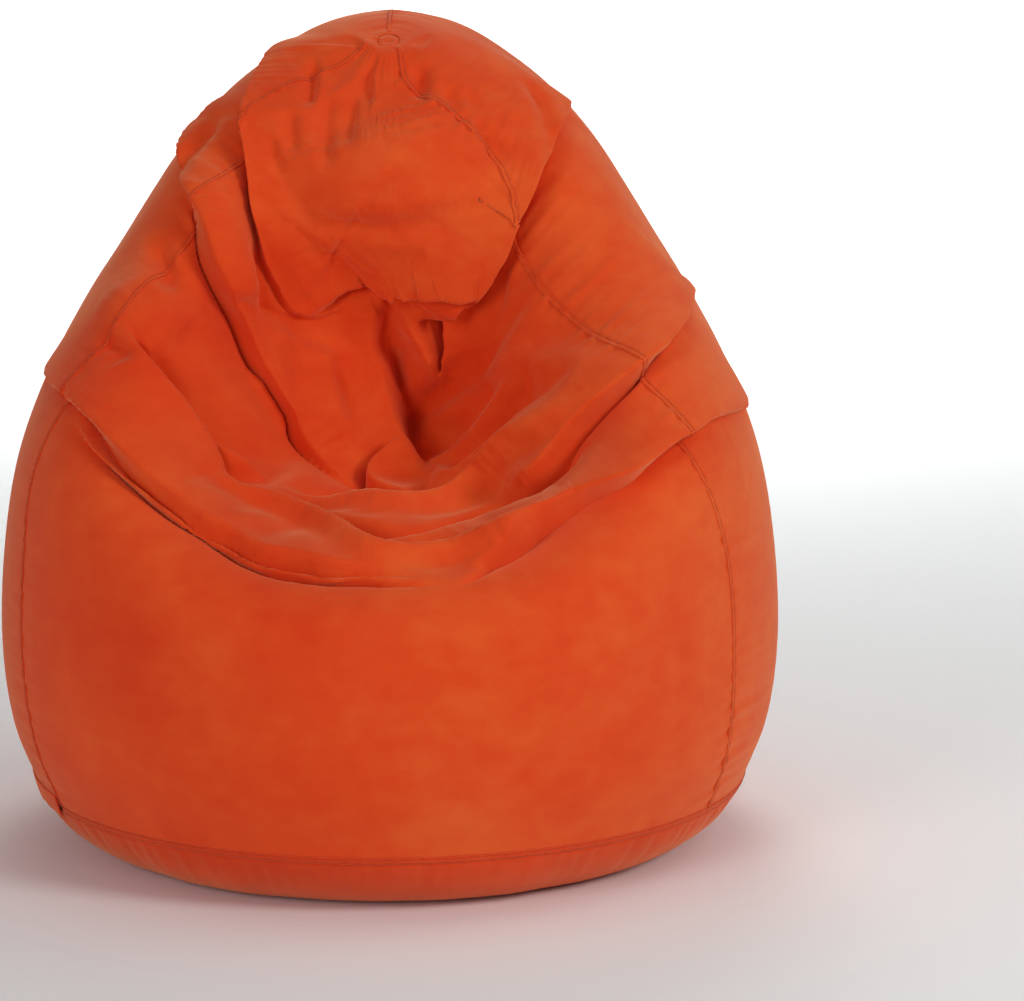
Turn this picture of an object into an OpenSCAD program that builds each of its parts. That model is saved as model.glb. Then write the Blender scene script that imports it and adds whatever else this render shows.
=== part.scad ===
// Teardrop bean bag chair: a three-gore velvet cover on a round base, zipped round the rear left
// of its base seam, over a three-gore liner with a zip of its own, filled with beads.
// Millimetres. +Z is up, the seat faces -Y, and the origin is on the floor under the body's middle.

/* [Body] */
// Width of the body at its widest
body_w = 1000; // [940:10:1060]
// Height of the highest point of the backrest
body_h = 1050; // [1000:10:1100]
// Height of the middle of the base seam above the floor
seam_z = 76; // [74:1:80]
// Radius of the turn from the floor up to the base seam
base_turn = 120; // [112:2:130]

/* [Fabric] */
// Thickness of the velvet
velvet_t = 2.5; // [2:0.25:2.5]
// Thickness of the liner cloth
liner_t = 1.5; // [1:0.25:1.5]
// Gap from the outer face of the cover to the outer face of the liner
liner_depth = 12; // [12:0.5:13]
// Gap from the outer face of the cover to the beads
bead_depth = 24; // [24:0.5:26]

/* [Seams] */
// Width of a felled seam
seam_w = 7; // [6:0.5:7]
// Thickness of the turned-in cloth of a seam
seam_t = 3.5; // [3:0.25:4]
// How far a seam stands out from the panels beside it
seam_proud = 0.6; // [0.4:0.1:0.8]
// Thickness of the topstitching thread
thread_t = 0.8; // [0.6:0.1:0.8]

/* [Zips] */
// Length of a zip slider
slider_len = 11; // [9:1:13]
// Height of a zip slider's plates
slider_h = 7; // [6:0.5:7]

/* [Care label] */
// Width of the care label
label_w = 30; // [24:2:40]
// Length of the care label
label_len = 44; // [30:2:50]

/* [Hidden] */

velvet = [0.82, 0.27, 0.12];
velvet_seam = [0.74, 0.22, 0.10];
velvet_base = [0.66, 0.17, 0.07];
thread_colour = [0.55, 0.13, 0.06];
zip_colour = [0.48, 0.12, 0.06];
metal = [0.72, 0.72, 0.74];
liner_cloth = [0.90, 0.89, 0.85];
beads = [0.97, 0.97, 0.95];
satin = [0.95, 0.95, 0.93];

$fn = 96;
seam_r = 0.46 * body_w;           // radius of the cover where the gores end at the base seam
clear = 0.5;                      // clearance between a seam and the panels beside it
panel_gap = seam_w + 2 * clear;   // opening between two panels that a seam fills
gore_z = seam_z + panel_gap / 2;  // height of the gores' lower edge

// ---- Form of the body ----------------------------------------------------------------------
// Each level of the body is a closed curve: [half width, y at the front, at the sides, at the
// back, z at the front, at the sides, at the back, angle of the left seam, of the right seam],
// for a body 1000 wide and 1050 high. Past the lip of the seat the front of each level dips into
// the seat pan while its sides and back climb on. Angles are degrees round from the front.
wall = [
    [489, -489,   0, 489, 160,  160,  160, -61, 59],
    [500, -500,   0, 500, 265,  265,  265, -62, 58],
    [492, -488,  -5, 490, 345,  390,  400, -63, 58]];
seat = [
    [470, -440, -10, 466, 402,  505,  530, -65, 56],
    [430, -330,  -5, 434, 422,  610,  645, -63, 53],
    [385, -195,   5, 400, 438,  695,  745, -59, 51]];
backrest = [
    [345,  -80,  20, 362, 480,  757,  825, -58, 47],
    [308,  -15,  30, 320, 545,  815,  892, -57, 43],
    [270,    5,  40, 275, 620,  872,  948, -55, 40],
    [225,  -40,  45, 228, 720,  925,  992, -53, 39]];
head = [
    [175,  -90,  45, 178, 820,  968, 1024, -53, 37],
    [120,  -80,  35, 125, 910, 1002, 1048, -52, 30],
    [ 60,  -45,  20,  68, 972, 1020, 1043, -47, 18],
    [ 14,  -12,   2,  16, 1005, 1012, 1020, -60, 40]];
levels = concat(wall, seat, backrest, head);
top = len(levels);

function sized(l) = let(w = body_w / 1000, h = body_h / 1050)
    [l[0] * w, l[1] * w, l[2] * w, l[3] * w, l[4] * h, l[5] * h, l[6] * h, l[7], l[8]];
function row(i) =
    i < 0 ? 2 * row(0) - row(1) :
    i == 0 ? [seam_r, -seam_r, 0, seam_r, gore_z, gore_z, gore_z, -60, 60] :
    i > top ? 2 * row(top) - row(top - 1) :
    sized(levels[i - 1]);

// Catmull-Rom from row to row; s is 0 at the base seam and counts the levels up to the tip.
function spline(a, b, c, d, t) = b + t / 2 * (c - a) + t * t / 2 * (2 * a - 5 * b + 4 * c - d)
    + t * t * t / 2 * (3 * b - a - 3 * c + d);
function level(s) = let(i = max(0, min(floor(s), top - 1)))
    spline(row(i - 1), row(i), row(i + 1), row(i + 2), s - i);

// A value at angle th on a level: a tilted circle through the sides and the back, drawn in or
// down at the front, over an arc narrow enough to leave an arm on each side of the seat.
function scoop(th) = cos(th) < 0 ? 0 : pow(1 - pow(abs(sin(th)), 3), 3);
function around(front, side, back, th) =
    side - (back - side) * cos(th) + (front + back - 2 * side) * scoop(th);

// The cover's outer face, and a point at a depth below it.
function cover_point(th, s) = let(l = level(s))
    [l[0] * sin(th), around(l[1], l[2], l[3], th), around(l[4], l[5], l[6], th)];
nudge = 0.02;
function outward(th, s) = let(
        inner_s = min(s, top - nudge),
        across = cover_point(th + 1, inner_s) - cover_point(th - 1, inner_s),
        up = cover_point(th, inner_s + nudge) - cover_point(th, inner_s - nudge),
        n = cross(across, up))
    n / norm(n);
function below(th, s, depth) = cover_point(th, s) - depth * outward(th, s);

// The seams by number: the back one as the left gore meets it, left, right, and back again.
function seam_angle(k, s) = k < 0 ? -180 : k > 1 ? 180 : level(s)[7 + k];

// The angle that a width takes up on a level.
function angle_of(width, s) = let(l = level(s), mean_r = (2 * l[0] + l[3] - l[1]) / 4)
    width / mean_r * 180 / PI;

// ---- Solids from rings of points -----------------------------------------------------------
// Rings are stacked upwards, and each runs anticlockwise seen from above.
function ring_walls(n, count) = [for (i = [0 : count - 2], j = [0 : n - 1])
    let(a = i * n + j, b = i * n + (j + 1) % n)
    each [[a, a + n, b], [b, a + n, b + n]]];
function strip_cap(first, n) = [for (j = [0 : n / 2 - 2])
    let(a = first + j, b = first + n - 1 - j)
    each [[a, a + 1, b], [a + 1, b - 1, b]]];
function turned(faces) = [for (f = faces) [f[2], f[1], f[0]]];

// A long thin solid: each ring goes out along one face and comes back along the other.
module strip(rings) {
    n = len(rings[0]);
    count = len(rings);
    polyhedron([for (r = rings) each r],
        concat(ring_walls(n, count), strip_cap(0, n), turned(strip_cap((count - 1) * n, n))),
        convexity = 10);
}

// A closed round solid, fanned in to a point below its first ring and one above its last.
module closed_round(rings, low, high) {
    n = len(rings[0]);
    count = len(rings);
    apex = n * count;
    low_fan = [for (j = [0 : n - 1]) [j, (j + 1) % n, apex]];
    high_fan = [for (j = [0 : n - 1]) [apex - n + (j + 1) % n, apex - n + j, apex + 1]];
    polyhedron(concat([for (r = rings) each r], [low, high]),
        concat(ring_walls(n, count), low_fan, high_fan), convexity = 10);
}

gore = 120;
cover_mesh = [3, 16];   // facets from one level to the next, and across a gore
liner_mesh = [3, 12];
fill_mesh = [2, 16];
function heights(last, mesh) = [for (i = [0 : round(last * mesh[0])]) i / mesh[0]];

// The gore from seam k round to the next, up to level last, with half of a seam's opening left
// free along each side.
module gore_panel(k, depth, thickness, last, mesh) {
    strip([for (s = heights(last, mesh)) let(
            free = angle_of(panel_gap / 2, s),
            from = seam_angle(k, s) + free,
            width = seam_angle(k + 1, s) - free - from)
        [for (j = [0 : mesh[1]]) below(from + width * j / mesh[1], s, depth),
         for (j = [mesh[1] : -1 : 0]) below(from + width * j / mesh[1], s, depth + thickness)]]);
}

// A strip of cloth or thread that follows seam k, set off to one side of it by shift.
module seam_strip(k, width, shift, outer, inner, last) {
    strip([for (s = heights(last, cover_mesh)) let(
            a0 = seam_angle(k, s) + angle_of(shift - width / 2, s),
            a1 = seam_angle(k, s) + angle_of(shift + width / 2, s))
        [below(a0, s, outer), below(a1, s, outer), below(a1, s, inner), below(a0, s, inner)]]);
}

// ---- Round the base seam -------------------------------------------------------------------
// Sections are drawn as [along the cloth from the seam's middle, depth below the outer face].
lower_edge = cover_point(0, 0);
edge_n = outward(0, 0);
seam_out = [-edge_n.y, edge_n.z];
seam_up = [-seam_out.y, seam_out.x];
seam_mid = [-lower_edge.y, lower_edge.z] - panel_gap / 2 * seam_up;
function section(points) = [for (p = points) seam_mid + p[0] * seam_up - p[1] * seam_out];
function block(a0, a1, d0, d1) = section([[a0, d0], [a1, d0], [a1, d1], [a0, d1]]);

module band(from, to, outline) {
    rotate([0, 0, from])
        rotate_extrude(angle = to - from)
            polygon(outline);
}

front_left = 210;   // azimuths where the gore seams reach the base seam
front_right = 330;
back = 90;

// The base: flat on the floor, turned up to meet the gores.
base_edge = seam_mid - panel_gap / 2 * seam_up;
flat_r = base_edge.x - sqrt(base_turn * base_turn - pow(base_turn - base_edge.y, 2));
turn_steps = 10;
function turn_end(depth) = acos((base_turn - base_edge.y) / base_turn) - 0.1 * depth;
function turn_point(depth, a) =
    [flat_r + (base_turn - depth) * sin(a), base_turn - (base_turn - depth) * cos(a)];
function turn(depth, end) = [for (i = [0 : turn_steps]) turn_point(depth, end * i / turn_steps)];
module dish(depth, thickness) {
    end = turn_end(depth);
    inner = turn(depth + thickness, end);
    rotate_extrude()
        polygon(concat([[0, depth]], turn(depth, end),
            [for (i = [turn_steps : -1 : 0]) inner[i]], [[0, depth + thickness]]));
}

// ---- Zips ----------------------------------------------------------------------------------
part_line = 0.8;      // between the two coils
tape_d = 3.9;         // depth of the tapes' outer face below the cloth's
tape_t = 0.8;
tape_w = 11;
coil_out = 1;         // depth of the coils' outer face
coil_w = (panel_gap - part_line) / 2 - 2 * clear;
plate_t = 1.1;
plate_gap = 0.35;
web_t = 0.5;          // the slider's divider, which runs in the parting line
end_margin = 2;       // degrees of zip left flat at each end of the gore
stop_deg = 0.6;
slider_deg = slider_len / seam_r * 180 / PI;

module tape(from, depth, side) {
    band(from + end_margin, from + gore - end_margin,
        block(side * part_line / 2, side * tape_w, depth + tape_d, depth + tape_d + tape_t));
}
module coil(from, depth, side) {
    band(from + end_margin + 2 * stop_deg, from + gore - end_margin - 2 * stop_deg,
        block(side * part_line / 2, side * (part_line / 2 + coil_w),
              depth + coil_out, depth + tape_d - 0.1));
}
module stop(at, depth) {
    reach = part_line / 2 + coil_w - 0.6;
    band(at - stop_deg / 2, at + stop_deg / 2,
        block(-reach, reach, depth + coil_out - 0.4, depth + tape_d - 0.1));
}
module slider(at, depth) {
    half = slider_h / 2;
    web = web_t / 2;
    outer_face = coil_out - plate_gap - plate_t;
    outer_plate = coil_out - plate_gap;
    inner_plate = tape_d + tape_t + plate_gap;
    inner_face = inner_plate + plate_t;
    band(at - slider_deg / 2, at + slider_deg / 2, section([
        for (p = [[-half, outer_face], [half, outer_face], [half, outer_plate],
                  [web, outer_plate], [web, inner_plate], [half, inner_plate],
                  [half, inner_face], [-half, inner_face], [-half, inner_plate],
                  [-web, inner_plate], [-web, outer_plate], [-half, outer_plate]])
            [p[0], p[1] + depth]]));
}
// The stops sit at the ends of the coils, and a closed slider stands against its stop.
stop_in = end_margin + stop_deg;
slider_in = stop_in + stop_deg + slider_deg / 2;

// The flap over the cover's zip: sewn to the gores above it and hanging clear of the slider.
module placket() {
    band(back + 0.8, front_left - 0.8, section([
        [17, -0.6], [17, -2.2], [12, -3.1], [-9, -3.3], [-9, -1.5], [11.5, -1.3], [14, -0.6]]));
}

// The closed gather in the round opening that the gores leave where they meet at the tip.
ring_angles = [-180 : gore / fill_mesh[1] : 179];
gather_fill = 0.82;
module gather(depth, last) {
    points = [for (th = ring_angles) below(th, last, depth)];
    middle = [for (p = points) 1] * points / len(points);
    function gathered(spread, lift) =
        [for (p = points) middle + spread * (p - middle) + [0, 0, lift]];
    closed_round([gathered(gather_fill / 2, -4), gathered(gather_fill, -2.5),
                  gathered(gather_fill, 0), gathered(gather_fill / 2, 2)],
        middle - [0, 0, 4.5], middle + [0, 0, 2.5]);
}

// ---- Cover ---------------------------------------------------------------------------------
liner_top = top - 2 / 3;
thread_top = top - 1;

module front_panel() { color(velvet) gore_panel(0, 0, velvet_t, top, cover_mesh); }
module rear_left_panel() { color(velvet) gore_panel(-1, 0, velvet_t, top, cover_mesh); }
module rear_right_panel() { color(velvet) gore_panel(1, 0, velvet_t, top, cover_mesh); }
module base_panel() { color(velvet_base) dish(0, velvet_t); }

module felled_seam(k) {
    color(velvet_seam)
        seam_strip(k, seam_w, 0, -seam_proud, seam_t - seam_proud, top);
}
module front_left_seam() { felled_seam(0); }
module front_right_seam() { felled_seam(1); }
module back_seam() { felled_seam(2); }
module base_seam() {
    color(velvet_seam)
        band(front_left + 0.2, back + 360 - 0.2,
            block(-seam_w / 2, seam_w / 2, -seam_proud, seam_t - seam_proud));
}

thread_lift = 0.3;
thread_in = -seam_proud - thread_lift;
thread_out = thread_in - thread_t;
thread_shift = seam_w / 2 - 1.5;
module topstitch(k, side) {
    color(thread_colour)
        seam_strip(k, thread_t, side * thread_shift, thread_out, thread_in, thread_top);
}
module front_left_thread() { topstitch(0, -1); }
module front_right_thread() { topstitch(1, 1); }
module back_thread() { topstitch(2, 1); }
module base_thread() {
    color(thread_colour)
        band(front_left + 0.4, back + 360 - 0.4,
            block(-thread_shift - thread_t / 2, -thread_shift + thread_t / 2,
                  thread_out, thread_in));
}
module tip_gather() { color(velvet_seam) gather(0, top); }

module zip_placket() { color(velvet) placket(); }
module zip_tape_upper() { color(zip_colour) tape(back, 0, 1); }
module zip_tape_lower() { color(zip_colour) tape(back, 0, -1); }
module zip_coil_upper() { color(thread_colour) coil(back, 0, 1); }
module zip_coil_lower() { color(thread_colour) coil(back, 0, -1); }
module zip_closed_stop() { color(metal) stop(back + stop_in, 0); }
module zip_open_stop() { color(metal) stop(front_left - stop_in, 0); }
module zip_slider() { color(metal) slider(back + slider_in, 0); }

// The folded label: two plies joined at the bottom, hanging from the base seam beside the back.
label_at = 86;
label_r = seam_mid.x + 3;
label_ply = 0.4;
module care_label() {
    color(satin)
        rotate([0, 0, label_at])
            translate([label_r, label_w / 2, seam_mid.y])
                rotate([90, 0, 0])
                    linear_extrude(label_w)
                        difference() {
                            translate([-1.25 * label_ply, -label_len])
                                square([2.5 * label_ply, label_len]);
                            translate([-0.25 * label_ply, label_ply - label_len])
                                square([0.5 * label_ply, label_len]);
                        }
}

// ---- Liner and fill ------------------------------------------------------------------------
module liner_panel(k) {
    color(liner_cloth) gore_panel(k, liner_depth, liner_t, liner_top, liner_mesh);
}
module liner_front() { liner_panel(0); }
module liner_rear_left() { liner_panel(-1); }
module liner_rear_right() { liner_panel(1); }
module liner_base() { color(liner_cloth) dish(liner_depth, liner_t); }
module liner_tip_gather() { color(liner_cloth) gather(liner_depth, liner_top); }

module liner_tape_upper() { color(satin) tape(front_right, liner_depth, 1); }
module liner_tape_lower() { color(satin) tape(front_right, liner_depth, -1); }
module liner_coil_upper() { color(satin) coil(front_right, liner_depth, 1); }
module liner_coil_lower() { color(satin) coil(front_right, liner_depth, -1); }
module liner_closed_stop() { color(metal) stop(front_right + gore - stop_in, liner_depth); }
module liner_open_stop() { color(metal) stop(front_right + stop_in, liner_depth); }
module liner_slider() { color(metal) slider(front_right + gore - slider_in, liner_depth); }

module bead_fill() {
    bottom_ring = [for (p = turn(bead_depth, turn_end(bead_depth)))
        [for (th = ring_angles) [p.x * sin(th), -p.x * cos(th), p.y]]];
    rings = [for (s = heights(top, fill_mesh))
        [for (th = ring_angles) below(th, s, bead_depth)]];
    color(beads)
        closed_round(concat(bottom_ring, rings), [0, 0, bead_depth],
            [0, 0, cover_point(90, top).z - bead_depth + 1]);
}

// ---- Assembly ------------------------------------------------------------------------------
front_panel();
rear_left_panel();
rear_right_panel();
base_panel();
front_left_seam();
front_right_seam();
back_seam();
base_seam();
front_left_thread();
front_right_thread();
back_thread();
base_thread();
tip_gather();
zip_placket();
zip_tape_upper();
zip_tape_lower();
zip_coil_upper();
zip_coil_lower();
zip_closed_stop();
zip_open_stop();
zip_slider();
care_label();
liner_front();
liner_rear_left();
liner_rear_right();
liner_base();
liner_tip_gather();
liner_tape_upper();
liner_tape_lower();
liner_coil_upper();
liner_coil_lower();
liner_closed_stop();
liner_open_stop();
liner_slider();
bead_fill();
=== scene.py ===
"""Looks for the teardrop bean bag chair: folded velvet gores, felled seams with their stitching,
base, zip and placket, care label, liner and fill, in metres in the CAD model's own frame."""

import math

import bpy
import numpy as np
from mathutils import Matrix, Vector


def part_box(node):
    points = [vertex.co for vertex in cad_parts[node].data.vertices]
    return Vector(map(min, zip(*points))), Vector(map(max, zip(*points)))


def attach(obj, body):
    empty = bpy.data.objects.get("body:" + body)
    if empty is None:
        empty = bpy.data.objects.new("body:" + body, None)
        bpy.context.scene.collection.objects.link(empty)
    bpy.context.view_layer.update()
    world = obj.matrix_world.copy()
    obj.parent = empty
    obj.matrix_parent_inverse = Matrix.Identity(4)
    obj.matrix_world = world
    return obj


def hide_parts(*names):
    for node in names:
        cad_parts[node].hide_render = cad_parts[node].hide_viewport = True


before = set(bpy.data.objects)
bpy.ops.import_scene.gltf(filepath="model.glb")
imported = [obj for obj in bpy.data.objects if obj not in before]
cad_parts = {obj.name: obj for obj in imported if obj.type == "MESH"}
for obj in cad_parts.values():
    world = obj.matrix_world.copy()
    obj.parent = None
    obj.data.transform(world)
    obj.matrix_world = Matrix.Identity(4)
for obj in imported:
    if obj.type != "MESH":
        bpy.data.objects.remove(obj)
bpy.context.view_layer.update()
rng = np.random.default_rng(7)

# ---- Form of the body ---------------------------------------------------------------------
# Each level of the body: half width, y at the front, sides and back, z at the front, sides and
# back, and the angles of the left and right seams, in metres and degrees.
LEVELS = np.array([
    [0.460, -0.460,  0.000, 0.460, 0.080, 0.080, 0.080, -60, 60],
    [0.489, -0.489,  0.000, 0.489, 0.160, 0.160, 0.160, -61, 59],
    [0.500, -0.500,  0.000, 0.500, 0.265, 0.265, 0.265, -62, 58],
    [0.492, -0.488, -0.005, 0.490, 0.345, 0.390, 0.400, -63, 58],
    [0.470, -0.440, -0.010, 0.466, 0.402, 0.505, 0.530, -65, 56],
    [0.430, -0.330, -0.005, 0.434, 0.422, 0.610, 0.645, -63, 53],
    [0.385, -0.195,  0.005, 0.400, 0.438, 0.695, 0.745, -59, 51],
    [0.345, -0.080,  0.020, 0.362, 0.480, 0.757, 0.825, -58, 47],
    [0.308, -0.015,  0.030, 0.320, 0.545, 0.815, 0.892, -57, 43],
    [0.270,  0.005,  0.040, 0.275, 0.620, 0.872, 0.948, -55, 40],
    [0.225, -0.040,  0.045, 0.228, 0.720, 0.925, 0.992, -53, 39],
    [0.175, -0.090,  0.045, 0.178, 0.820, 0.968, 1.024, -53, 37],
    [0.120, -0.080,  0.035, 0.125, 0.910, 1.002, 1.048, -52, 30],
    [0.060, -0.045,  0.020, 0.068, 0.972, 1.020, 1.043, -47, 18],
    [0.014, -0.012,  0.002, 0.016, 1.005, 1.012, 1.020, -60, 40]])
TOP = len(LEVELS) - 1


def spline(a, b, c, d, t):
    """A share t of the way from b to c, on the smooth curve through all four."""
    return (b + t / 2 * (c - a) + t ** 2 / 2 * (2 * a - 5 * b + 4 * c - d)
            + t ** 3 / 2 * (3 * b - a - 3 * c + d))


def level(s):
    """The level at height s, counted up from the base seam, as rows that match s."""
    rows = np.vstack([2 * LEVELS[0] - LEVELS[1], LEVELS, 2 * LEVELS[-1] - LEVELS[-2]])
    i = np.clip(np.floor(s).astype(int), 0, TOP - 1)
    return spline(rows[i], rows[i + 1], rows[i + 2], rows[i + 3], (s - i)[:, None])


def around(front, side, back, th):
    """A value round a level: a tilted circle, scooped out or down over the front."""
    scoop = np.where(np.cos(th) < 0, 0, (1 - np.abs(np.sin(th)) ** 3) ** 3)
    return side - (back - side) * np.cos(th) + (front + back - 2 * side) * scoop


def body_point(th, s):
    """Points of the plain body, for angles th (rows by columns) at heights s (rows)."""
    lv = level(s)[:, :, None]
    return np.stack([lv[:, 0] * np.sin(th), around(lv[:, 1], lv[:, 2], lv[:, 3], th),
                     around(lv[:, 4], lv[:, 5], lv[:, 6], th)], axis=-1)


def unit(v):
    """Vectors of length 1 along v."""
    return v / np.maximum(np.linalg.norm(v, axis=-1, keepdims=True), 1e-12)


def normals(grid):
    """Outward normals of a grid of points, closed round its columns."""
    across = np.roll(grid, -1, axis=1) - np.roll(grid, 1, axis=1)
    up = np.gradient(grid, axis=0)
    return unit(np.cross(across, up))


def run_along(points):
    """The distance along a line of points from its start."""
    return np.concatenate([[0], np.cumsum(np.linalg.norm(np.diff(points, axis=0), axis=1))])


def smooth_step(x):
    """From 0 to 1 as x goes from 0 to 1, level at both ends."""
    x = np.clip(x, 0, 1)
    return x * x * (3 - 2 * x)


# The whole cover on one grid: rows go up, columns go round from the left seam of the front gore.
ROWS_PER_LEVEL = 30
FRONT_COLS, REAR_COLS = 240, 96
SEAM_COL = {"left": 0, "right": FRONT_COLS, "back": FRONT_COLS + REAR_COLS}
COLS = FRONT_COLS + 2 * REAR_COLS
heights = np.linspace(0, TOP, TOP * ROWS_PER_LEVEL + 1)
ROWS = len(heights)


def column_angles(s):
    """Angles of every column at heights s, in radians, with the seams on whole columns."""
    lv = level(s)
    left, right = lv[:, 7:8], lv[:, 8:9]
    front = left + (right - left) * np.linspace(0, 1, FRONT_COLS, endpoint=False)
    rear = np.linspace(0, 1, REAR_COLS, endpoint=False)
    rear_right = right + (180 - right) * rear
    rear_left = 180 + (left + 180) * rear
    return np.radians(np.hstack([front, rear_right, rear_left]))


body = body_point(column_angles(heights), heights)
body_n = normals(body)


def grid_faces(rows, cols, start=0, closed=False):
    """The faces of a grid of points, closed round its columns or open."""
    faces = []
    last = cols if closed else cols - 1
    for i in range(rows - 1):
        for j in range(last):
            a = start + i * cols + j
            b = start + i * cols + (j + 1) % cols
            faces.append((a, b, b + cols, a + cols))
    return faces


# ---- Folds --------------------------------------------------------------------------------
# The cloth is drawn as it hangs: each fold is a groove with a roll of cloth hanging over it.
# Its line is drawn on the front elevation, [x, height] on the upright plane through the middle
# of the bag, from a standpoint 3.8 m in front of it. The roll is on the left-hand side of the
# line's direction, seen from outside the bag. Most of the points are measurements, not a design:
# they were read off one view of a real bag and turned into metres by another program, and some
# were moved by hand after that.
STANDPOINT = np.array([0.156, -3.8, 1.05])


def on_elevation(p):
    """Where points are seen on the front elevation, from the standpoint."""
    t = STANDPOINT[1] / (STANDPOINT[1] - p[..., 1])
    return STANDPOINT[[0, 2]] + (p[..., [0, 2]] - STANDPOINT[[0, 2]]) * t[..., None]


def curve_through(points, count):
    """A Catmull-Rom curve through points, with count samples evenly spaced along it."""
    p = np.asarray(points, float)
    p = np.vstack([2 * p[0] - p[1], p, 2 * p[-1] - p[-2]])
    t = np.linspace(0, 1, 24, endpoint=False)[:, None]
    fine = [spline(*p[i - 1:i + 3], t) for i in range(1, len(p) - 2)]
    fine = np.vstack(fine + [p[-2][None]])
    run = run_along(fine)
    at = np.linspace(0, run[-1], count)
    return np.stack([np.interp(at, run, fine[:, k]) for k in range(fine.shape[1])], axis=1)


facing = (body_n * (STANDPOINT - body)).sum(-1) > 0
seen_p = body[facing]
seen_n = body_n[facing]
seen_uv = on_elevation(seen_p)
seen_far = np.linalg.norm(seen_p - STANDPOINT, axis=1)


def on_body(points, count=70):
    """The points and normals of the body under a line drawn on the front elevation."""
    place, normal = [], []
    for uv in curve_through(points, count):
        gap = np.linalg.norm(seen_uv - uv, axis=1)
        near = np.flatnonzero(gap < gap.min() + 0.004)
        k = near[np.argmin(seen_far[near])]
        place.append(seen_p[k])
        normal.append(seen_n[k])
    place, normal = np.array(place), np.array(normal)
    blur = np.ones(5) / 5
    for k in range(3):
        place[2:-2, k] = np.convolve(place[:, k], blur, "valid")
        normal[2:-2, k] = np.convolve(normal[:, k], blur, "valid")
    return place, unit(normal)


def near_line(points, reach):
    """The points of the body within reach of a drawn line: which they are, the line's normals
    and its way to the left beside them, their signed distance (left is positive), how far along
    the line they are (0 to 1), and a weight that fades past its ends and on other faces."""
    place, normal = on_body(points)
    along = unit(np.gradient(place, axis=0))
    side = unit(np.cross(normal, along))
    inside = ((body > place.min(0) - reach) & (body < place.max(0) + reach)).all(-1)
    p = body[inside]
    gap = np.linalg.norm(p[:, None] - place[None], axis=2)
    k = gap.argmin(1)
    offset = p - place[k]
    ahead = (offset * along[k]).sum(1)
    last = len(place) - 1
    past = np.where(k == 0, -ahead, np.where(k == last, ahead, 0))
    level_gap = np.sqrt(np.maximum(gap[np.arange(len(p)), k] ** 2 - np.maximum(past, 0) ** 2, 0))
    signed = np.where((offset * side[k]).sum(1) < 0, -level_gap, level_gap)
    facing_too = smooth_step(((body_n[inside] * normal[k]).sum(1) + 0.2) / 0.6)
    weight = facing_too * smooth_step(1 - np.maximum(past, 0) / 0.05)
    return inside, side[k], signed, k / last, weight


def fading(t, ends, open_ends, least):
    """From 0 to 1 along a line; an open end fades only to its least value."""
    value = 1
    for x, end, is_open in ((t, ends[0], open_ends[0]), (1 - t, ends[1], open_ends[1])):
        rise = smooth_step(x / end)
        value = value * (least + (1 - least) * rise if is_open else rise)
    return value


DRAW_IN, DRAW_IN_REACH = 0.55, 0.035
SLIT_WIDTH, HELD_WIDTH = 0.0035, 0.008


def fold(points, roll, reach, depth=0.008, crease=0.005, slope=0.024, hang=0.012, slit=0.010,
         ends=(0.2, 0.2), open_ends=(False, False)):
    """How a fold moves the cloth: a shift for every point of the grid, and how far each point
    is held in the fold's crease, from 0 to 1. An open end runs on round the side of the bag."""
    inside, side, signed, t, weight = near_line(points, 3 * reach)
    groove_share = weight * fading(t, ends, open_ends, 0.8)
    roll_share = weight * fading(t, ends, open_ends, 0.45)
    drawn_in = -DRAW_IN * signed * np.exp(-(signed / DRAW_IN_REACH) ** 2)
    r = signed + drawn_in * groove_share
    over = r > 0
    groove = depth * np.where(over, np.exp(-(r / crease) ** 2), np.exp(np.minimum(r, 0) / slope))
    groove = groove + slit * np.exp(-(r / SLIT_WIDTH) ** 2)
    lift = np.where(over, smooth_step(r / crease / 2) * np.exp(-(r / reach) ** 2), 0)
    up = roll_share * roll * lift - groove_share * groove
    slide = groove_share * drawn_in - roll_share * hang * lift
    shift = np.zeros_like(body)
    shift[inside] = up[:, None] * body_n[inside] + slide[:, None] * side
    held = np.zeros(body.shape[:2])
    held[inside] = groove_share * np.exp(-(r / HELD_WIDTH) ** 2)
    return shift, held


def swell(points, height, width, ends=(0.3, 0.3)):
    """A soft ridge along a line, or a valley where the height is below 0."""
    inside, _, signed, t, weight = near_line(points, 3 * width)
    share = weight * fading(t, ends, (False, False), 0)
    shift = np.zeros_like(body)
    shift[inside] = (height * share * np.exp(-(signed / width) ** 2))[:, None] * body_n[inside]
    return shift


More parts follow.
